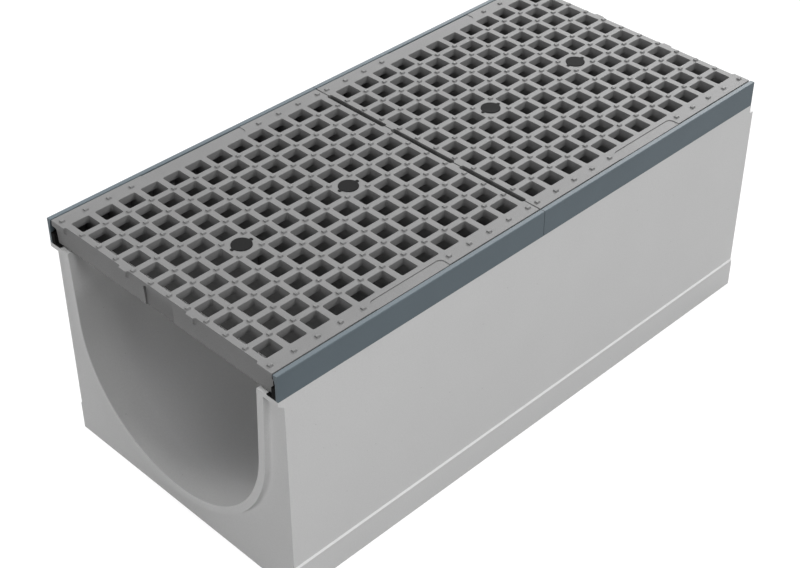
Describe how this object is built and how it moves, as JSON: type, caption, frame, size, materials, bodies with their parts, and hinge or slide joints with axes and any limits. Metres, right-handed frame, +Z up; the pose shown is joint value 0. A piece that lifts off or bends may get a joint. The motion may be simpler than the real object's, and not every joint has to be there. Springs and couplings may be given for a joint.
{
  "type": "drainage channel",
  "caption": "Concrete drainage channel module with a U-shaped bore, metal edge rails, and bolted cast mesh gratings that let surface water in from above.",
  "frame": {"origin": "on the base, in the middle of the module, under the joint of the two gratings", "axes": "+Y along the run towards the lip end, +X across to the right, +Z up"},
  "size_m": [0.486, 1.008, 0.4012],
  "materials": {
    "concrete": "smooth formed concrete",
    "grating_iron": "coated casting, matt grey",
    "rail_metal": "coated casting, satin blue-grey",
    "liner_rubber": "matt black",
    "cap_plastic": "matt black",
    "lock_steel": "zinc plated, dull"
  },
  "bodies": {
    "root": {"channel_body": "concrete", "edge_rail_left_front": "rail_metal", "seat_liner_left_front": "liner_rubber", "edge_rail_right_front": "rail_metal", "seat_liner_right_front": "liner_rubber", "grating_front": "grating_iron", "edge_rail_left_rear": "rail_metal", "seat_liner_left_rear": "liner_rubber", "edge_rail_right_rear": "rail_metal", "seat_liner_right_rear": "liner_rubber", "grating_rear": "grating_iron", "lock_cap_1": "cap_plastic", "lock_bar_1": "lock_steel", "lock_cap_2": "cap_plastic", "lock_bar_2": "lock_steel", "lock_cap_3": "cap_plastic", "lock_bar_3": "lock_steel", "lock_cap_4": "cap_plastic", "lock_bar_4": "lock_steel", "lock_bolts": "lock_steel", "lock_washers": "lock_steel", "lock_nuts": "lock_steel"}
  },
  "joints": []
}
